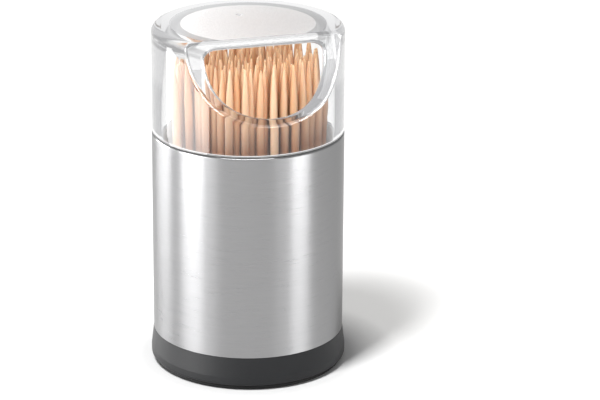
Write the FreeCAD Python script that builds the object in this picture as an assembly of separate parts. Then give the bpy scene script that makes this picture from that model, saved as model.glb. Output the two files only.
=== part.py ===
import FreeCAD, Part
import math
import os

# A toothpick dispenser in millimetres. Z is up, the origin is the middle of the foot on the
# table, and the mouth of the cap faces -Y.

# Steel sleeve
sleeve_radius = 25.0
sleeve_wall = 0.5
sleeve_rim_round = 0.45
lip_gap = 0.35

# Foot and base
foot_height = 1.15
foot_inset = 0.4
foot_width = 7.6
foot_flange = 0.85
foot_groove_depth = 0.6
foot_edge_round = 0.2
tongue_inset = 2.9
tongue_width = 2.2
tongue_height = 1.1
tongue_gap = 0.1
base_height = 7.7
base_flare = 0.65
base_floor = 2.3
base_skirt = 2.3
base_round = 0.8
base_top_chamfer = 0.15
spigot_rise = 6.4
spigot_wall = 1.6
spigot_gap = 0.05

# Inner cup
cup_gap = 0.1
cup_wall = 1.35
cup_floor = 1.8
cup_floor_rise = 10.1
cup_floor_round = 1.0
cup_seat_gap = 0.2
neck_wall = 1.4
clip_rise = 1.3
clip_height = 0.9
clip_depth = 0.3
clip_play = 0.1

# Cap and seal
cap_height = 28.0
cap_inset = 0.05
cap_draw_in = 2.0
half_way_draw_in_share = 0.12
cap_edge_round = 2.1
ceiling = 2.6
ceiling_round = 2.8
headroom = 4.1
skirt_length = 6.5
skirt_wall = 0.75
skirt_gap = 0.05
skirt_end_gap = 1.75
skirt_edge_round = 0.25
mouth_radius = 27.5
mouth_cut_back = 11.0
mouth_rim_height = 8.1
mouth_outer_round = 1.3
mouth_inner_round = 1.0
outer_round_limit_share = 0.54
inner_round_limit_share = 0.42
mark_radius = 1.0
mark_depth = 0.25
mark_offset = 8.2
seal_height = 0.35
seal_overhang = 0.35
seal_width = 0.8

# Toothpicks
pick_length = 65.0
pick_spread = 1.2
pick_radius = 1.05
pick_tip_radius = 0.25
pick_taper = 8.0
pick_gap = 0.12
load_gap = 0.5
load_slack = 1.0
shoulder_length_share = 0.33
shoulder_radius_share = 0.68
spiral_pitch_share = 0.65
golden_turn_share = 0.381966
band_count = 12

# The three picks that stand apart by the wall: angles in degrees round the axis from +X, and
# how much longer each one is than the others. The front one stands a little further in
front_pick_angle = 273.75
front_pick_extra = 1.05
front_pick_inset = 1.2
left_pick_angle = 192.0
left_pick_extra = -2.0
right_pick_angle = 349.0
right_pick_extra = -3.0

# How far any cut runs past its piece, and how near an edge has to be to count as found
overrun = 1.0
edge_tolerance = 0.01

# Heights that several pieces share
base_top = foot_height + base_height
base_floor_top = foot_height + base_floor
cup_floor_top = base_top + cup_floor_rise
ceiling_bottom = cup_floor_top + pick_length + pick_spread / 2 + headroom
cap_top = ceiling_bottom + ceiling
cap_bottom = cap_top - cap_height
skirt_bottom = cap_bottom - skirt_length
sleeve_top = cap_bottom - seal_height
neck_top = sleeve_top - sleeve_wall
neck_bottom = skirt_bottom - skirt_end_gap

# Radii that several pieces share, from the sleeve inwards
sleeve_bore = sleeve_radius - sleeve_wall
neck_radius = sleeve_bore - cup_gap
neck_bore = neck_radius - neck_wall
spigot_radius = sleeve_bore - spigot_gap
spigot_bore = spigot_radius - spigot_wall
cup_radius = spigot_bore - cup_gap
cup_bore = cup_radius - cup_wall
cap_radius = sleeve_radius - cap_inset
skirt_radius = neck_bore - skirt_gap
skirt_bore = skirt_radius - skirt_wall
ceiling_bore = skirt_bore - cap_draw_in
foot_radius = sleeve_radius - foot_inset
foot_bore = foot_radius - foot_width
tongue_radius = foot_radius - tongue_inset
tongue_bore = tongue_radius - tongue_width

# Where the picks stand: those apart by the wall, and the load inside them
wall_reach = min(cup_bore - load_gap - pick_radius, ceiling_bore)
load_reach = wall_reach - load_slack

origin = FreeCAD.Vector(0, 0, 0)
upwards = FreeCAD.Vector(0, 0, 1)


def turned(points):
    """The solid that (radius, height) points give when they are turned round the Z axis."""
    corners = [FreeCAD.Vector(radius, 0, height) for radius, height in points]
    return Part.Face(Part.makePolygon(corners + corners[:1])).revolve(origin, upwards, 360)


def tube(outer, inner, bottom, top):
    """A plain ring from one height to another."""
    return turned([(inner, bottom), (outer, bottom), (outer, top), (inner, top)])


def rim(shape, radius, height):
    """The circular edges of this radius at this height."""
    found = []
    for edge in shape.Edges:
        curve = edge.Curve
        if not isinstance(curve, Part.Circle):
            continue
        apart = math.hypot(curve.Radius - radius, curve.Center.z - height)
        if apart < edge_tolerance:
            found.append(edge)
    return found


def foot_ring():
    """Soft ring under the base, with a shadow groove at its top and a tongue that holds it."""
    flange = tube(foot_radius, foot_bore, 0, foot_flange)
    flange = flange.makeFillet(foot_edge_round, rim(flange, foot_radius, 0))
    neck = tube(foot_radius - foot_groove_depth, foot_bore, foot_flange, foot_height)
    tongue = tube(tongue_radius, tongue_bore, foot_height, foot_height + tongue_height)
    return flange.fuse([neck, tongue]).removeSplitter()


def base():
    """Flared base: a ledge carries the sleeve, and a spigot inside it takes the inner cup."""
    widest = sleeve_radius + base_flare
    body = turned([
        (0, foot_height),
        (widest, foot_height),
        (widest, foot_height + base_skirt),
        (sleeve_radius, base_top),
        (spigot_radius, base_top),
        (spigot_radius, base_top + spigot_rise),
        (spigot_bore, base_top + spigot_rise),
        (spigot_bore, base_floor_top),
        (0, base_floor_top),
    ])
    body = body.makeFillet(min(base_round, base_skirt), rim(body, widest, foot_height))
    body = body.makeChamfer(base_top_chamfer, rim(body, sleeve_radius, base_top))
    channel_top = foot_height + tongue_height + tongue_gap
    channel_bottom = foot_height - overrun
    channel = tube(
        tongue_radius + tongue_gap, tongue_bore - tongue_gap, channel_bottom, channel_top
    )
    return body.cut(channel).cut(clip_ring(spigot_bore, clip_play))


def clip_ring(radius, play):
    """The ring of the clip, as a bead on the cup or, with play, as the groove it snaps into."""
    middle = base_floor_top + clip_rise + clip_height / 2
    half = clip_height / 2 + play
    reach = clip_depth + play
    return turned([
        (radius - cup_wall / 2, middle - half),
        (radius, middle - half),
        (radius + reach, middle),
        (radius, middle + half),
        (radius - cup_wall / 2, middle + half),
    ])


def steel_sleeve():
    """Brushed tube with its top edge turned inwards over the neck of the inner cup."""
    lip_bore = skirt_radius + lip_gap
    sleeve = turned([
        (sleeve_bore, base_top),
        (sleeve_radius, base_top),
        (sleeve_radius, sleeve_top),
        (lip_bore, sleeve_top),
        (lip_bore, neck_top),
        (sleeve_bore, neck_top),
    ])
    return sleeve.makeFillet(sleeve_rim_round, rim(sleeve, sleeve_radius, sleeve_top))


def inner_cup():
    """Cup for the picks: neck under the lip of the sleeve, and a clip skirt under its floor."""
    cup = turned([
        (0, cup_floor_top - cup_floor),
        (cup_bore, cup_floor_top - cup_floor),
        (cup_bore, base_floor_top + cup_seat_gap),
        (cup_radius, base_floor_top + cup_seat_gap),
        (cup_radius, neck_bottom - neck_wall),
        (neck_radius, neck_bottom),
        (neck_radius, neck_top),
        (neck_bore, neck_top),
        (neck_bore, neck_bottom),
        (cup_bore, neck_bottom),
        (cup_bore, cup_floor_top),
        (0, cup_floor_top),
    ])
    cup = cup.makeFillet(cup_floor_round, rim(cup, cup_bore, cup_floor_top))
    return cup.fuse(clip_ring(cup_radius, 0)).removeSplitter()


def seal_ring():
    """Flat dark ring under the edge of the cap, which lies on the lip of the sleeve."""
    outer = sleeve_radius - seal_overhang
    return tube(outer, outer - seal_width, sleeve_top, cap_bottom)


def mouth_axis():
    """Where the axis of the scoop crosses the YZ plane, as (reach towards the front, height).

    The scoop passes through the chord on the top and the low point of the rim at the front.
    """
    chord = FreeCAD.Vector(sleeve_radius - mouth_cut_back, cap_top, 0)
    low = FreeCAD.Vector(cap_radius, cap_bottom + mouth_rim_height, 0)
    along = low - chord
    across = FreeCAD.Vector(-along.y, along.x, 0).normalize()
    rise = math.sqrt(mouth_radius**2 - (along.Length / 2) ** 2)
    centre = (chord + low) / 2 + across * rise
    return centre.x, centre.y


def cap_hollow():
    """What the cap holds: its wall draws in towards the ceiling along a shallow arc."""
    low = FreeCAD.Vector(skirt_bore, 0, skirt_bottom)
    half_way_bore = skirt_bore - cap_draw_in * half_way_draw_in_share
    half_way = FreeCAD.Vector(half_way_bore, 0, (skirt_bottom + ceiling_bottom) / 2)
    high = FreeCAD.Vector(ceiling_bore, 0, ceiling_bottom)
    wall = Part.Arc(low, half_way, high).toShape()
    corners = [
        high,
        FreeCAD.Vector(0, 0, ceiling_bottom),
        FreeCAD.Vector(0, 0, skirt_bottom - overrun),
        FreeCAD.Vector(skirt_bore, 0, skirt_bottom - overrun),
        low,
    ]
    section = Part.Face(Part.Wire([wall] + Part.makePolygon(corners).Edges))
    hollow = section.revolve(origin, upwards, 360)
    return hollow.makeFillet(ceiling_round, rim(hollow, ceiling_bore, ceiling_bottom))


def clear_cap():
    """Thick clear cap with a plug skirt, a flat top and a scooped mouth with rounded edges."""
    cap = turned([
        (0, skirt_bottom),
        (skirt_radius, skirt_bottom),
        (skirt_radius, cap_bottom),
        (cap_radius, cap_bottom),
        (cap_radius, cap_top),
        (0, cap_top),
    ])
    cap = cap.makeFillet(cap_edge_round, rim(cap, cap_radius, cap_top))
    cap = cap.makeFillet(skirt_edge_round, rim(cap, skirt_radius, skirt_bottom))
    cap = cap.cut(cap_hollow())
    reach, height = mouth_axis()
    start = FreeCAD.Vector(-sleeve_radius - overrun, -reach, height)
    length = 2 * (sleeve_radius + overrun)
    scoop = Part.makeCylinder(mouth_radius, length, start, FreeCAD.Vector(1, 0, 0))
    cap = with_rounded_mouth(cap.cut(scoop))
    mark_ball = (mark_radius**2 + mark_depth**2) / (2 * mark_depth)
    mark_centre = FreeCAD.Vector(0, mark_offset, cap_top + mark_ball - mark_depth)
    return cap.cut(Part.makeSphere(mark_ball, mark_centre))


def with_rounded_mouth(cap):
    """The cap with both edges of its mouth rounded, as far as the ceiling's thickness lets."""
    outer_round = min(mouth_outer_round, ceiling * outer_round_limit_share)
    inner_round = min(mouth_inner_round, ceiling * inner_round_limit_share)
    scooped = [face for face in cap.Faces if is_scoop(face)][0]
    outer = scooped.OuterWire.Edges
    inner = [edge for edge in scooped.Edges if not any(edge.isSame(e) for e in outer)]
    return cap.makeFillet(outer_round, outer).makeFillet(inner_round, inner)


def is_scoop(face):
    """Whether the face is the round cut of the mouth, the only cylinder that lies along X."""
    surface = face.Surface
    return isinstance(surface, Part.Cylinder) and abs(surface.Axis.x) > abs(surface.Axis.z)


def pick(angle, reach, length):
    """A round toothpick with a point at each end, standing on the floor of the inner cup."""
    lower_half = [
        (pick_tip_radius, 0),
        (pick_radius * shoulder_radius_share, pick_taper * shoulder_length_share),
        (pick_radius, pick_taper),
    ]
    upper_half = [(radius, length - height) for radius, height in reversed(lower_half)]
    solid = turned([(0, 0)] + lower_half + upper_half + [(0, length)])
    solid.translate(standing_place(angle, reach))
    return solid


def standing_place(angle, reach):
    """The point on the cup's floor at this angle and distance from the axis."""
    return FreeCAD.Vector(reach * math.cos(angle), reach * math.sin(angle), cup_floor_top)


def pick_by_wall(degrees, extra, inset):
    """A pick that stands apart from the load, this far in from the others by the wall."""
    return pick(math.radians(degrees), wall_reach - inset, pick_length + extra)


def load_bands():
    """The load, placed on a sunflower spiral, in bands of like number from the middle out.

    A place too close to a pick that stands apart stays empty.
    """
    taken = [
        standing_place(math.radians(front_pick_angle), wall_reach - front_pick_inset),
        standing_place(math.radians(left_pick_angle), wall_reach),
        standing_place(math.radians(right_pick_angle), wall_reach),
    ]
    pitch = 2 * pick_radius * spiral_pitch_share
    count = int((load_reach / pitch) ** 2)
    bands = [[] for band in range(band_count)]
    for number in range(count):
        reach = pitch * math.sqrt(number + 1 / 2)
        angle = 2 * math.pi * golden_turn_share * number
        place = standing_place(angle, reach)
        if min(place.distanceToPoint(other) for other in taken) < 2 * pick_radius + pick_gap:
            continue
        unevenness = math.sin(number**2)
        length = pick_length + pick_spread / 2 * unevenness
        bands[number * band_count // count].append(pick(angle, reach, length))
    return [Part.makeCompound(band) for band in bands]


pieces = {
    "foot_ring": foot_ring(),
    "base": base(),
    "steel_sleeve": steel_sleeve(),
    "inner_cup": inner_cup(),
    "seal_ring": seal_ring(),
    "clear_cap": clear_cap(),
    "toothpick_front": pick_by_wall(front_pick_angle, front_pick_extra, front_pick_inset),
    "toothpick_left": pick_by_wall(left_pick_angle, left_pick_extra, 0),
    "toothpick_right": pick_by_wall(right_pick_angle, right_pick_extra, 0),
}
for index, band in enumerate(load_bands()):
    pieces[f"toothpicks_band_{index + 1:02d}"] = band

os.makedirs("parts", exist_ok=True)
for name, shape in pieces.items():
    shape.exportStep(f"parts/{name}.step")
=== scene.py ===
import math
import random

import bmesh
import bpy
from mathutils import Matrix, Vector


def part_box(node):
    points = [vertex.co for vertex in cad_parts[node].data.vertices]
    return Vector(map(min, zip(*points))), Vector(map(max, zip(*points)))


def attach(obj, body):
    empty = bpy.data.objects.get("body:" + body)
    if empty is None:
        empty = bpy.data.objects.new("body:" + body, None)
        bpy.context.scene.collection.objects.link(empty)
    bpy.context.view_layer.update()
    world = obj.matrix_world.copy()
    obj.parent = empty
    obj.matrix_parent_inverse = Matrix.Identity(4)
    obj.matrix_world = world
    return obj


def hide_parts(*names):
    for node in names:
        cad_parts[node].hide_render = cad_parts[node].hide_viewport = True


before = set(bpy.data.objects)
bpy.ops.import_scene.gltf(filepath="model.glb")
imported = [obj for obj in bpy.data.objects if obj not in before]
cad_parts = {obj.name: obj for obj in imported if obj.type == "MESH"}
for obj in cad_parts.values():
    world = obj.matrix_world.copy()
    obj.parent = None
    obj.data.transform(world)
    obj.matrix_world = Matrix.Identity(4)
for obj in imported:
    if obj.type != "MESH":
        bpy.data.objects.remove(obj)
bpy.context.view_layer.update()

# Foot ring: a soft dark ring under the base, with a shadow groove above it. It is moulded
# rubber, pressed into a channel of the base by its tongue.
rubber_tone = (0.008, 0.008, 0.009, 1)
rubber_worn_tone = (0.02, 0.02, 0.02, 1)
rubber_grain = 0.0006
rubber_patch = 0.009
rubber_worn_from = 0.35
rubber_worn_to = 0.75
rubber_roughness = 0.62
rubber_roughness_spread = 0.2
rubber_specular = 0.2
rubber_relief = 0.00004


class Field:
    """What a node puts out over a surface. Sums and products of fields add their Math nodes."""

    def __init__(self, tree, socket=None):
        self.tree = tree
        self.socket = socket

    def node(self, kind, settings, sockets, output=0):
        """Adds a node: first its settings, then the values or fields of its sockets."""
        made = self.tree.nodes.new(kind)
        for name, value in settings.items():
            setattr(made, name, value)
        for name, value in sockets.items():
            if isinstance(value, Field):
                self.tree.links.new(value.socket, made.inputs[name])
            else:
                made.inputs[name].default_value = value
        return Field(self.tree, made.outputs[output] if made.outputs else None)

    def maths(self, operation, first, second):
        return self.node("ShaderNodeMath", {"operation": operation}, {0: first, 1: second})

    def __add__(self, other):
        return self.maths("ADD", self, other)

    def __sub__(self, other):
        return self.maths("SUBTRACT", self, other)

    def __rsub__(self, other):
        return self.maths("SUBTRACT", other, self)

    def __mul__(self, other):
        return self.maths("MULTIPLY", self, other)

    __radd__ = __add__
    __rmul__ = __mul__

    def clamped(self):
        return self.node("ShaderNodeClamp", {}, {"Value": self})

    def place(self):
        """The point on the piece, in metres."""
        return self.node("ShaderNodeTexCoord", {}, {}, "Object")

    def height(self):
        """How high the point is, in metres."""
        return self.node("ShaderNodeSeparateXYZ", {}, {"Vector": self.place()}, "Z")

    def reach(self, axis=(0, 0, 0), across=(1, 1, 0)):
        """How far the point is from an axis, in metres, along the directions across it."""
        apart = self.node(
            "ShaderNodeVectorMath", {"operation": "SUBTRACT"}, {0: self.place(), 1: axis}
        )
        level = self.node(
            "ShaderNodeVectorMath", {"operation": "MULTIPLY"}, {0: apart, 1: across}
        )
        return self.node("ShaderNodeVectorMath", {"operation": "LENGTH"}, {0: level}, "Value")

    def noise(self, size, detail=2.0, roughness=0.5):
        """Soft noise from 0 to 1, with cells of this size along X, Y and Z."""
        cells = self.node(
            "ShaderNodeVectorMath", {"operation": "DIVIDE"}, {0: self.place(), 1: size}
        )
        sockets = {"Vector": cells, "Scale": 1.0, "Detail": detail, "Roughness": roughness}
        return self.node("ShaderNodeTexNoise", {}, sockets, "Fac")

    def attribute(self, name):
        """A number that the mesh holds at each of its points."""
        return self.node("ShaderNodeAttribute", {"attribute_name": name}, {}, "Fac")

    def ray(self, kind):
        """1 where this kind of ray looks at the surface, such as Is Shadow Ray, or else 0."""
        return self.node("ShaderNodeLightPath", {}, {}, kind)

    def spread(self, low, high):
        """This field from low to high, stretched to run from 0 to 1."""
        sockets = {"Value": self, "From Min": low, "From Max": high}
        return self.node("ShaderNodeMapRange", {"clamp": True}, sockets)

    def blend(self, first, second):
        """The colour that turns from first to second as this field goes from 0 to 1."""
        sockets = {0: self, 6: first, 7: second}
        return self.node("ShaderNodeMix", {"data_type": "RGBA"}, sockets, 2)

    def between(self, first, second):
        """The shader that turns from first to second as this field goes from 0 to 1."""
        return self.node("ShaderNodeMixShader", {}, {0: self, 1: first, 2: second})

    def relief(self, height):
        """The surface's own normal, tilted by this field as a height in metres."""
        sockets = {"Height": self, "Distance": height, "Strength": 1.0}
        return self.node("ShaderNodeBump", {}, sockets)


def start_material(name):
    """An empty material, and the field that its first nodes come from."""
    material = bpy.data.materials.new(name)
    material.use_nodes = True
    material.node_tree.nodes.clear()
    return material, Field(material.node_tree)


def surface(start, sockets):
    """Ends a material in a Principled shader with these sockets."""
    shader = start.node("ShaderNodeBsdfPrincipled", {}, sockets)
    start.node("ShaderNodeOutputMaterial", {}, {"Surface": shader})


def dress(node, material):
    """Gives a node of the frame its finish."""
    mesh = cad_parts[node].data
    mesh.materials.clear()
    mesh.materials.append(material)


def foot_rubber():
    material, start = start_material("foot_rubber")
    grain = start.noise((rubber_grain,) * 3, detail=4.0)
    patch = start.noise((rubber_patch,) * 3)
    worn = patch.spread(rubber_worn_from, rubber_worn_to)
    surface(start, {
        "Base Color": worn.blend(rubber_tone, rubber_worn_tone),
        "Roughness": patch * rubber_roughness_spread + rubber_roughness,
        "Specular IOR Level": rubber_specular,
        "Normal": grain.relief(rubber_relief),
    })
    return material


dress("foot_ring", foot_rubber())

# Base: the slightly flared dark foot of the dispenser. It is moulded of hard grey plastic with
# a fine spark-eroded grain, and the sleeve stands on its ledge.
base_tone = (0.017, 0.0175, 0.019, 1)
base_pale_tone = (0.024, 0.0245, 0.026, 1)
base_grain = 0.00028
base_patch = 0.02
base_patch_share = 0.6
base_pale_from = 0.3
base_pale_to = 0.7
base_roughness = 0.36
base_grain_roughness = 0.12
base_patch_roughness = 0.08
base_specular = 0.2
base_relief = 0.00002


def base_plastic():
    material, start = start_material("base_plastic")
    grain = start.noise((base_grain,) * 3, detail=3.0, roughness=0.6)
    patch = start.noise((base_patch,) * 3)
    mottle = patch * base_patch_share + grain * (1 - base_patch_share)
    surface(start, {
        "Base Color": mottle.spread(base_pale_from, base_pale_to).blend(base_tone, base_pale_tone),
        "Roughness": grain * base_grain_roughness + patch * base_patch_roughness + base_roughness,
        "Specular IOR Level": base_specular,
        "Normal": grain.relief(base_relief),
    })
    return material


dress("base", base_plastic())

# Steel sleeve: a rolled stainless tube, brushed round its girth, so its lights stand in it as
# upright bands. Its top edge is turned in over the neck of the inner cup.
steel_tone = (0.248, 0.248, 0.252, 1)
steel_pale_tone = (0.272, 0.272, 0.276, 1)
steel_edge_tint = (0.65, 0.65, 0.65, 1)
hair_length = 0.016
hair_width = 0.00012
stroke_length = 0.006
stroke_width = 0.0005
hair_share = 0.6
steel_patch = 0.03
steel_patch_share = 0.2
steel_pale_from = 0.3
steel_pale_to = 0.7
steel_rough_from = 0.25
steel_rough_to = 0.75
steel_roughness = 0.245
steel_brushed_roughness = 0.06
steel_patch_roughness = 0.03
steel_anisotropic = 0.75
quarter_turn = 0.25
steel_relief = 0.0000025


def brushed_steel():
    material, start = start_material("brushed_steel")
    hairs = start.noise((hair_length, hair_length, hair_width), detail=3.0, roughness=0.6)
    strokes = start.noise((stroke_length, stroke_length, stroke_width))
    patch = start.noise((steel_patch,) * 3)
    brushing = hairs * hair_share + strokes * (1 - hair_share)
    mottle = brushing * (1 - steel_patch_share) + patch * steel_patch_share
    pale = mottle.spread(steel_pale_from, steel_pale_to)
    rough = brushing.spread(steel_rough_from, steel_rough_to) * steel_brushed_roughness
    surface(start, {
        "Base Color": pale.blend(steel_tone, steel_pale_tone),
        "Metallic": 1.0,
        "Roughness": rough + patch * steel_patch_roughness + steel_roughness,
        "Specular Tint": steel_edge_tint,
        "Anisotropic": steel_anisotropic,
        "Anisotropic Rotation": quarter_turn,
        "Normal": hairs.relief(steel_relief),
    })
    return material


dress("steel_sleeve", brushed_steel())

# Inner cup: the pale cup that holds the picks. It is moulded of smooth natural plastic, its
# neck shows inside the sleeve when the cap is off, and it clips into the base.
cup_tone = (0.84, 0.84, 0.83, 1)
cup_dusty_tone = (0.74, 0.72, 0.68, 1)
cup_patch = 0.006
cup_dusty_from = 0.45
cup_dusty_to = 0.8
cup_roughness = 0.25
cup_roughness_spread = 0.25
cup_relief = 0.00002


def cup_plastic():
    material, start = start_material("cup_plastic")
    dust = start.noise((cup_patch,) * 3, detail=5.0, roughness=0.6)
    dusty = dust.spread(cup_dusty_from, cup_dusty_to)
    surface(start, {
        "Base Color": dusty.blend(cup_tone, cup_dusty_tone),
        "Roughness": dust * cup_roughness_spread + cup_roughness,
        "Normal": dust.relief(cup_relief),
    })
    return material


dress("inner_cup", cup_plastic())

# Toothpicks: round picks of bare birch with a point at each end, standing on the cup's floor.
# They are turned and tumbled, so their points are blunt and no two have the same tone. Lower
# down in the load they are darker by painted shade, for the little light that comes there, and
# the left and front picks get the palest tone, as painted light.
birch_tone = (0.75, 0.41, 0.21, 1)
birch_pale_tone = (0.92, 0.63, 0.42, 1)
birch_dark_tone = (0.45, 0.2, 0.1, 1)
# Painted shade: lower down in the load the picks turn towards this tone, between these heights.
birch_painted_shade_tone = (0.4, 0.16, 0.07, 1)
birch_painted_shade_share = 0.85
birch_painted_shade_full_height = 0.0625
birch_painted_shade_end_height = 0.076
fibre_width = 0.00022
fibre_length = 0.007
fibre_relief = 0.00003
fibre_share = 0.2
fibre_dark_from = 0.62
fibre_dark_to = 0.8
fibre_dark_share = 0.5
band_width = 0.0012
band_length = 0.02
band_share = 0.25
pick_tone_share = 0.55
birch_roughness = 0.5
birch_roughness_spread = 0.2
birch_glow_share = 0.3
birch_glow_spread = (1.0, 0.6, 0.4)
birch_glow_depth = 0.0015
pick_seed = 65
point_lean = 0.00022
lean_from = 0.8
girth_spread = 0.06
load_pick_sides = 8
load_taper = 0.16
lone_pick_sides = 16
lone_taper = 0.18
front_taper = 0.24
foot_profile = ((0.2, 0), (0.6, 0.35), (1, 1))
tip_profile = ((1, 1), (0.86, 0.62), (0.6, 0.3), (0.32, 0.08), (0.16, 0))
pole_weld_share = 0.01
facet_weld = 0.000002


def birch():
    material, start = start_material("birch")
    fibres = start.noise((fibre_width, fibre_width, fibre_length), detail=3.0, roughness=0.6)
    bands = start.noise((band_width, band_width, band_length))
    tone_and_painted_light = start.attribute("pick_tone_and_painted_light")
    shade = tone_and_painted_light * pick_tone_share + bands * band_share + fibres * fibre_share
    wood = shade.clamped().blend(birch_tone, birch_pale_tone)
    # Painted shade, darker towards the bottom of the load.
    painted_shade_depth = 1 - start.height().spread(birch_painted_shade_full_height, birch_painted_shade_end_height)
    painted_shade = painted_shade_depth * painted_shade_depth * start.attribute("pick_painted_shade") * birch_painted_shade_share
    streaks = fibres.spread(fibre_dark_from, fibre_dark_to) * fibre_dark_share
    surface(start, {
        "Base Color": streaks.blend(painted_shade.blend(wood, birch_painted_shade_tone), birch_dark_tone),
        "Roughness": fibres * birch_roughness_spread + birch_roughness,
        "Subsurface Weight": birch_glow_share,
        "Subsurface Radius": birch_glow_spread,
        "Subsurface Scale": birch_glow_depth,
        "Normal": fibres.relief(fibre_relief),
    })
    return material


def standing_picks(node):
    """Where each pick of a node stands: the middle of its foot, its length and its radius."""
    loose = bmesh.new()
    loose.from_mesh(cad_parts[node].data)
    bmesh.ops.remove_doubles(loose, verts=loose.verts, dist=facet_weld)
    waiting = set(loose.verts)
    places = []
    while waiting:
        group = [waiting.pop()]
        for vert in group:
            for edge in vert.link_edges:
                other = edge.other_vert(vert)
                if other in waiting:
                    waiting.remove(other)
                    group.append(other)
        lows = [min(vert.co[axis] for vert in group) for axis in range(3)]
        highs = [max(vert.co[axis] for vert in group) for axis in range(3)]
        foot = Vector(((lows[0] + highs[0]) / 2, (lows[1] + highs[1]) / 2, lows[2]))
        places.append((foot, highs[2] - lows[2], (highs[0] - lows[0]) / 2))
    loose.free()
    return sorted(places, key=lambda place: tuple(place[0]))


def turned_pick(length, radius, taper, sides):
    """The mesh of one pick at the origin: an ogive point at the top and a plain one below.

    The profiles give shares of the radius and of the taper, which is the length of a point.
    """
    outline = [(0, 0)]
    outline += [(radius * across, taper * up) for across, up in foot_profile]
    outline += [(radius * across, length - taper * down) for across, down in tip_profile]
    outline += [(0, length)]
    shape = bmesh.new()
    verts = [shape.verts.new((across, 0, up)) for across, up in outline]
    edges = [shape.edges.new(pair) for pair in zip(verts, verts[1:])]
    bmesh.ops.spin(
        shape, geom=verts + edges, cent=(0, 0, 0), axis=(0, 0, 1), dvec=(0, 0, 0),
        angle=2 * math.pi, steps=sides, use_merge=True,
    )
    bmesh.ops.remove_doubles(shape, verts=shape.verts, dist=radius * pole_weld_share)
    bmesh.ops.recalc_face_normals(shape, faces=shape.faces)
    mesh = bpy.data.meshes.new("pick_pattern")
    shape.to_mesh(mesh)
    shape.free()
    return mesh


def pick_bundle(name, node, body, sides, taper_share, painted_shade_flag, chance):
    """One piece with all the picks of a node, each a little different, at their places.

    The painted shade flag is 1 for picks in the thick of the load, which get painted shade lower
    down, and 0 for picks that stand apart, which get the palest tone as painted light.
    """
    bundle = bmesh.new()
    tone = bundle.verts.layers.float.new("pick_tone_and_painted_light")
    painted_shade_depth = bundle.verts.layers.float.new("pick_painted_shade")
    for foot, length, radius in standing_picks(node):
        first = len(bundle.verts)
        pattern = turned_pick(length, radius, length * taper_share, sides)
        bundle.from_mesh(pattern)
        bpy.data.meshes.remove(pattern)
        bundle.verts.ensure_lookup_table()
        # The left and front picks get the palest tone, as painted light; the rest get a random
        # tone.
        tone_and_painted_light = max(chance.random(), 1 - painted_shade_flag)
        girth = 1 - girth_spread * chance.random()
        lean = Vector((chance.uniform(-1, 1), chance.uniform(-1, 1), 0)) * point_lean
        turn = Matrix.Rotation(chance.uniform(0, math.pi), 4, "Z")
        for vert in bundle.verts[first:]:
            share = max(0.0, (vert.co.z / length - lean_from) / (1 - lean_from))
            vert.co = turn @ Vector((vert.co.x * girth, vert.co.y * girth, vert.co.z))
            vert.co += foot + lean * share
            vert[tone] = tone_and_painted_light
            vert[painted_shade_depth] = painted_shade_flag
    mesh = bpy.data.meshes.new(name)
    bundle.to_mesh(mesh)
    bundle.free()
    mesh.shade_smooth()
    mesh.materials.append(pick_wood)
    piece = bpy.data.objects.new(name, mesh)
    bpy.context.scene.collection.objects.link(piece)
    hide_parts(node)
    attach(piece, body)


pick_wood = birch()
chance = random.Random(pick_seed)
# The picks of the load get painted shade lower down.
for node in sorted(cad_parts):
    if node.startswith("toothpicks_band_"):
        name = node.replace("toothpicks_", "standing_picks_")
        pick_bundle(name, node, "container", load_pick_sides, load_taper, 1, chance)
# The left and front picks get the palest tone as painted light, and no painted shade.
for name, node, body, taper_share, painted_shade_flag in (
    ("left_pick", "toothpick_left", "container", lone_taper, 0),
    ("right_pick", "toothpick_right", "container", lone_taper, 1),
    ("front_pick", "toothpick_front", "front_pick", front_taper, 0),
):
    pick_bundle(name, node, body, lone_pick_sides, taper_share, painted_shade_flag, chance)

# Seal ring: the thin black line between the cap and the steel. It is cut from soft rubber, sits
# round the cap's skirt and lifts off with the cap.
seal_tone = (0.03, 0.028, 0.026, 1)
seal_dusty_tone = (0.07, 0.065, 0.06, 1)
seal_patch = 0.003
seal_dusty_from = 0.4
seal_dusty_to = 0.8
seal_roughness = 0.55
seal_roughness_spread = 0.2


def seal_rubber():
    material, start = start_material("seal_rubber")
    dust = start.noise((seal_patch,) * 3, detail=4.0)
    dusty = dust.spread(seal_dusty_from, seal_dusty_to)
    surface(start, {
        "Base Color": dusty.blend(seal_tone, seal_dusty_tone),
        "Roughness": dust * seal_roughness_spread + seal_roughness,
    })
    return material


dress("seal_ring", seal_rubber())

# Clear cap: one thick moulding of clear hard plastic with a flat top and a scooped mouth. It is
# polished, with the faint upright waves of the mould's flow in its wall, but the middle of its
# top has a satin finish. Round it a grey ring is a painted reflection of the rounded corner of
# the ceiling inside.
white = (1, 1, 1, 1)
clear_tone = (0.985, 0.988, 0.99, 1)
clear_smear_tone = (0.97, 0.975, 0.98, 1)
clear_depth_tone = (0.7, 0.7, 0.71, 1)
clear_depth_density = 24.0
clear_ior = 1.5
clear_roughness = 0.005
smear_size = 0.012
smear_from = 0.45
smear_to = 0.8
smear_roughness = 0.03
flow_width = 0.007
flow_length = 0.06
flow_relief = 0.00006
passing_tone = (0.83, 0.83, 0.83, 1)

outer_skin = 0.0007
top_skin = 0.0001
mouth_axis_reach = 0.04142
mouth_axis_rise = 0.00213
mouth_radius = 0.0275
rim_skin = 0.00006
rim_roughness = 0.22

satin_radius = 0.0175
satin_edge = 0.0003
satin_tone = (0.67, 0.67, 0.675, 1)
satin_pale_tone = (0.73, 0.73, 0.73, 1)
satin_grain = 0.0003
satin_roughness = 0.22
satin_roughness_spread = 0.1
satin_relief = 0.000003
satin_milk_share = 0.35
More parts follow.
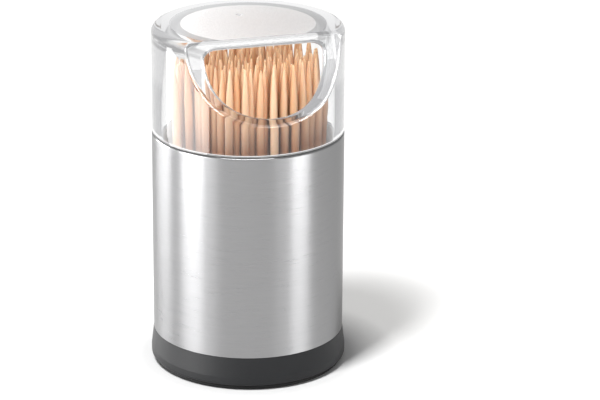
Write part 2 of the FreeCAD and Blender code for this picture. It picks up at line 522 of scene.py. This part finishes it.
# Painted grey ring round the disc: a painted reflection of the rounded corner of the ceiling
# inside.
painted_ring_radius = 0.0203
painted_ring_share = 0.8
painted_ring_tone = (0.27, 0.27, 0.275, 1)
painted_ring_roughness = 0.3

# Painted glow that reflected rays see, by where they leave the wall, in place of the light the
# thick wall leads round inside itself; the foot tone is painted shade.
painted_glow_low_tone = (0.5, 0.5, 0.51, 1)
painted_glow_upper_tone = (0.66, 0.66, 0.665, 1)
painted_glow_round_tone = (0.4, 0.4, 0.405, 1)
painted_glow_disc_tone = (0.85, 0.85, 0.85, 1)
painted_shade_foot_tone = (0.3, 0.27, 0.25, 1)
painted_glow_low_depth = 0.016
painted_glow_upper_depth = 0.013
painted_glow_round_depth = 0.0048
painted_glow_round_end_depth = 0.004
painted_shade_foot_height = 0.0012

cap_low, cap_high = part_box("clear_cap")
cap_radius = cap_high[0]
cap_foot = cap_low[2]
cap_top = cap_high[2]


def outer_wall(start):
    """1 on the outside of the cap's wall, and 0 on its inside."""
    return start.reach().spread(cap_radius - 2 * outer_skin, cap_radius - outer_skin)


def flat_top(start):
    """1 on the flat top of the cap, and 0 below it."""
    return start.height().spread(cap_top - top_skin, cap_top - top_skin / 2)


def top_disc(start, radius):
    """1 on the flat top within this radius, and 0 elsewhere."""
    return flat_top(start) * (1 - start.reach().spread(radius - satin_edge, radius))


def rounded_rim(start):
    """1 on the rounding at the outer edge of the mouth, and 0 elsewhere."""
    axis = (0, -mouth_axis_reach, cap_top + mouth_axis_rise)
    off_the_cut = start.reach(axis, (0, 1, 1)).spread(mouth_radius, mouth_radius + rim_skin)
    off_the_wall = 1 - start.reach().spread(cap_radius - rim_skin, cap_radius)
    return off_the_cut * off_the_wall * outer_wall(start)


def painted_wall_glow(start):
    """Painted glow, by where a ray leaves the wall, in place of the light that the thick wall
    leads round inside itself, with painted shade at the foot of its inner wall.
    """
    def painted_glow(tone):
        return start.node("ShaderNodeEmission", {}, {"Color": tone, "Strength": 1.0})

    def above(low, high):
        return start.height().spread(low, high)

    upper = above(cap_top - painted_glow_low_depth, cap_top - painted_glow_upper_depth)
    round_the_ceiling = above(cap_top - painted_glow_round_depth, cap_top - painted_glow_round_end_depth)
    by_outer_wall = round_the_ceiling.between(
        upper.between(painted_glow(painted_glow_low_tone), painted_glow(painted_glow_upper_tone)),
        painted_glow(painted_glow_round_tone),
    )
    by_inner_wall = above(cap_foot + painted_shade_foot_height, cap_foot + 2 * painted_shade_foot_height).between(
        painted_glow(painted_shade_foot_tone), painted_glow(white)
    )
    by_wall = outer_wall(start).between(by_inner_wall, by_outer_wall)
    by_top = top_disc(start, satin_radius).between(
        painted_glow(painted_glow_round_tone), painted_glow(painted_glow_disc_tone)
    )
    return flat_top(start).between(by_wall, by_top)


def clear_plastic():
    """Clear plastic, whose satin disc and painted grey ring lie on the flat top.

    A reflected ray, which mostly comes from inside the wall, sees a painted glow in place of the
    light that the wall leads round. Soft light and shadow rays go straight on through the cap,
    with a little loss.
    """
    material, start = start_material("clear_plastic")
    flow = start.noise((flow_width, flow_width, flow_length), detail=1.0)
    smears = start.noise((smear_size,) * 3, detail=4.0, roughness=0.6)
    smeared = smears.spread(smear_from, smear_to) * smear_roughness
    clear = start.node("ShaderNodeBsdfPrincipled", {}, {
        "Base Color": smears.blend(clear_tone, clear_smear_tone),
        "Roughness": smeared + rounded_rim(start) * rim_roughness + clear_roughness,
        "IOR": clear_ior,
        "Transmission Weight": 1.0,
        "Normal": flow.relief(flow_relief),
    })
    grain = start.noise((satin_grain,) * 3)
    skin = start.node("ShaderNodeBsdfPrincipled", {}, {
        "Base Color": smears.blend(satin_tone, satin_pale_tone),
        "Roughness": grain * satin_roughness_spread + satin_roughness,
        "IOR": clear_ior,
        "Normal": grain.relief(satin_relief),
    })
    milk = start.node("ShaderNodeBsdfTranslucent", {}, {"Color": satin_pale_tone})
    satin = start.node("ShaderNodeMixShader", {}, {0: satin_milk_share, 1: skin, 2: milk})
    painted_ring = start.node("ShaderNodeBsdfPrincipled", {}, {
        "Base Color": painted_ring_tone, "Roughness": painted_ring_roughness, "IOR": clear_ior,
    })
    # The grey ring, a painted reflection.
    with_painted_ring = (top_disc(start, painted_ring_radius) * painted_ring_share).between(clear, painted_ring)
    capped = top_disc(start, satin_radius).between(with_painted_ring, satin)
    # Reflected rays see the painted glow.
    with_painted_glow = start.ray("Is Reflection Ray").between(capped, painted_wall_glow(start))
    passing = start.node("ShaderNodeBsdfTransparent", {}, {"Color": passing_tone})
    lit_through = start.ray("Is Diffuse Ray").between(with_painted_glow, passing)
    shaded_through = start.ray("Is Shadow Ray").between(lit_through, passing)
    body = start.node("ShaderNodeVolumeAbsorption", {}, {
        "Color": clear_depth_tone, "Density": clear_depth_density,
    })
    start.node("ShaderNodeOutputMaterial", {}, {"Surface": shaded_through, "Volume": body})
    material.cycles.emission_sampling = "NONE"
    return material


dress("clear_cap", clear_plastic())

# Table: a plain white floor that keeps the dispenser's soft shadow. Away from the dispenser it
# glows a little where it is looked at, so it blends into the white room. Close round the foot the
# glow is held off, which paints a darker ring of shade there, and its warm tint paints warmth
# into the shadow.
floor_size = 12.0
floor_squares = 8
floor_tone = (0.82, 0.82, 0.82, 1)
floor_pale_tone = (0.84, 0.84, 0.84, 1)
floor_patch = 0.4
floor_lift_tone = (1.0, 0.99, 0.965, 1)
floor_lift = 0.36
floor_far_lift = 0.55
# Painted shade: no glow within this radius of the foot, rising to full glow at the next.
floor_painted_shade_radius = 0.0275
floor_painted_shade_fade_radius = 0.041
floor_far = 0.6

table = bmesh.new()
bmesh.ops.create_grid(
    table, x_segments=floor_squares, y_segments=floor_squares, size=floor_size / 2
)
floor_mesh = bpy.data.meshes.new("floor")
table.to_mesh(floor_mesh)
table.free()
floor = bpy.data.objects.new("floor", floor_mesh)
bpy.context.scene.collection.objects.link(floor)


def seen_directly(start):
    """1 where the camera, or a reflection or a view through clear plastic, looks at it."""
    mirrored = start.ray("Is Glossy Ray")
    seen_through = start.ray("Is Transmission Ray")
    return (start.ray("Is Camera Ray") + mirrored + seen_through).clamped()


def white_floor():
    material, start = start_material("white_floor")
    patch = start.noise((floor_patch,) * 3)
    matt = start.node("ShaderNodeBsdfDiffuse", {}, {
        "Color": patch.blend(floor_tone, floor_pale_tone),
    })
    reach = start.reach()
    # Painted shade: no glow close round the foot, rising away from it.
    near = reach.spread(floor_painted_shade_radius, floor_painted_shade_fade_radius) * floor_lift
    far = reach.spread(floor_painted_shade_fade_radius, floor_far) * (floor_far_lift - floor_lift)
    lift = start.node("ShaderNodeEmission", {}, {
        "Color": floor_lift_tone, "Strength": seen_directly(start) * (near + far),
    })
    both = start.node("ShaderNodeAddShader", {}, {0: matt, 1: lift})
    start.node("ShaderNodeOutputMaterial", {}, {"Surface": both})
    return material


floor_mesh.materials.append(white_floor())

# Camera: a long lens, looking a little down on the dispenser from its left. It is shifted
# sideways, so that the dispenser stands left of the middle of the picture.
photo_width = 600
object_column = 248.1
focal_pixels = 2674.45
film_width = 36.0
camera_azimuth = math.radians(-16.5)
camera_elevation = math.radians(19.457)
camera_distance = 0.7
camera_target = Vector((0, 0, 0.04324))
nearest_seen = 0.05
farthest_seen = 50


def towards(azimuth, elevation):
    """The direction from the object to something at this azimuth and elevation, in radians."""
    level = math.cos(elevation)
    return Vector((math.sin(azimuth) * level, -math.cos(azimuth) * level, math.sin(elevation)))


lens = bpy.data.cameras.new("camera")
lens.sensor_width = film_width
lens.lens = focal_pixels * film_width / photo_width
lens.shift_x = (photo_width / 2 - object_column) / photo_width
lens.clip_start = nearest_seen
lens.clip_end = farthest_seen
camera = bpy.data.objects.new("camera", lens)
bpy.context.scene.collection.objects.link(camera)
back = towards(camera_azimuth, camera_elevation)
camera.location = camera_target + back * camera_distance
camera.rotation_euler = (-back).to_track_quat("-Z", "Y").to_euler()
bpy.context.scene.camera = camera

# Room: plain white, as the camera and clear plastic see it. Metal reflects its white wall
# behind the dispenser and the grey of its front, and it lights the dispenser softly.
room_front = (0.6, 0.6, 0.6, 1)
room_side = (0.55, 0.55, 0.55, 1)
room_back = (0.97, 0.97, 0.98, 1)
room_light = (0.3, 0.3, 0.3, 1)
white_wall_from = 0.85
white_wall_to = 0.95
back_wall_from = -0.2
back_wall_to = 0.5

world = bpy.data.worlds.new("room")
bpy.context.scene.world = world
world.use_nodes = True
world.node_tree.nodes.clear()
room = Field(world.node_tree)
looking = room.node("ShaderNodeTexCoord", {}, {}, "Generated")
behind = room.node(
    "ShaderNodeVectorMath", {"operation": "DOT_PRODUCT"},
    {0: looking, 1: -towards(camera_azimuth, 0)}, "Value",
)
mirrored = behind.spread(white_wall_from, white_wall_to).blend(room_front, white)
seen_through = behind.spread(back_wall_from, back_wall_to).blend(room_side, room_back)
indoors = room.ray("Is Glossy Ray").blend(room_light, mirrored)
indoors = room.ray("Is Transmission Ray").blend(indoors, seen_through)
room_colour = room.ray("Is Camera Ray").blend(indoors, white)
room_glow = room.node("ShaderNodeBackground", {}, {"Color": room_colour, "Strength": 1.0})
room.node("ShaderNodeOutputWorld", {}, {"Surface": room_glow})

# Lights: soft boxes round the dispenser, most of them for one finish alone. Azimuths are in
# degrees from the camera's side, sizes in metres, and glow is how bright a box looks.
watts_per_glow = 4
side_boxes = {"elevation": 2, "distance": 0.7, "height": 0.13}
key_place = {"azimuth": -39, "elevation": 62, "distance": 0.9, "width": 0.17, "height": 0.17}

clear_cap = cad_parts["clear_cap"]
steel_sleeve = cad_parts["steel_sleeve"]
inner_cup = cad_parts["inner_cup"]
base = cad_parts["base"]


def soft_box(name, azimuth, elevation, distance, width, height, glow):
    """A lamp that faces the dispenser from this side."""
    lamp = bpy.data.lights.new(name, "AREA")
    lamp.shape = "RECTANGLE"
    lamp.size = width
    lamp.size_y = height
    lamp.energy = glow * width * height * watts_per_glow
    box = bpy.data.objects.new(name, lamp)
    bpy.context.scene.collection.objects.link(box)
    way = towards(camera_azimuth + math.radians(azimuth), math.radians(elevation))
    box.location = camera_target + way * distance
    box.rotation_euler = way.to_track_quat("Z", "Y").to_euler()
    return box


def limit(box, link_state, *objects):
    """Makes a box light these objects alone, or all but these."""
    receivers = bpy.data.collections.new(box.name + "_receivers")
    for receiver in objects:
        receivers.objects.link(receiver)
    for receiver in receivers.collection_objects:
        receiver.light_linking.link_state = link_state
    box.light_linking.receiver_collection = receivers


for name, azimuth, width, glow, unlit in (
    ("left_box", -68, 0.34, 36.0, (clear_cap, floor)),
    ("front_left_box", -46, 0.24, 8.0, (clear_cap, floor)),
    ("far_left_box", -116, 0.36, 42.0, (clear_cap, floor)),
    ("right_box", 62, 0.28, 26.0, (clear_cap, floor, base)),
    ("front_right_box", 40, 0.2, 4.0, (clear_cap, floor, base)),
):
    box = soft_box(name, azimuth=azimuth, width=width, glow=glow, **side_boxes)
    box.visible_transmission = False
    box.visible_diffuse = False
    limit(box, "EXCLUDE", *unlit)

for name, azimuth, elevation, glow in (
    ("fill_box", -80, 25, 5.0),
    ("front_box", 8, 38, 7.5),
):
    box = soft_box(name, azimuth, elevation, distance=0.7, width=0.3, height=0.3, glow=glow)
    box.visible_glossy = False
    limit(box, "EXCLUDE", clear_cap, floor)

steel_box = soft_box(
    "steel_box", azimuth=0, elevation=75, distance=0.7, width=0.5, height=0.3, glow=12.0
)
steel_box.visible_diffuse = False
limit(steel_box, "INCLUDE", steel_sleeve)

top_box = soft_box(
    "top_box", azimuth=-100, elevation=45, distance=0.12, width=0.03, height=0.03, glow=52.0
)
top_box.visible_glossy = False
top_box.visible_transmission = False
limit(top_box, "INCLUDE", clear_cap)

for name, azimuth, elevation, width, height, glow in (
    ("rim_box", 33, 12, 0.5, 0.22, 4.0),
    ("high_rim_box", 40, 30, 0.45, 0.6, 2.5),
    ("left_rim_box", -38, 16, 0.45, 0.32, 22.0),
    ("right_rim_box", 78, 18, 0.5, 0.35, 14.0),
):
    box = soft_box(name, azimuth, elevation, distance=0.6, width=width, height=height, glow=glow)
    box.visible_transmission = False
    box.visible_diffuse = False
    limit(box, "INCLUDE", clear_cap)

left_card = soft_box(
    "left_card", azimuth=-75, elevation=-5.2, distance=0.155, width=0.183, height=0.033, glow=5.5
)
left_card.visible_transmission = False
left_card.visible_diffuse = False
left_card.visible_camera = False
limit(left_card, "INCLUDE", clear_cap)

neck_box = soft_box(
    "neck_box", azimuth=70, elevation=40, distance=0.7, width=0.3, height=0.3, glow=12.0
)
neck_box.visible_glossy = False
limit(neck_box, "INCLUDE", inner_cup)

key_box = soft_box("key_box", glow=40.0, **key_place)
key_box.visible_glossy = False
floor_box = soft_box("floor_box", glow=36.0, **key_place)
floor_box.visible_glossy = False
limit(floor_box, "INCLUDE", floor)

bpy.context.scene.view_settings.view_transform = "Standard"
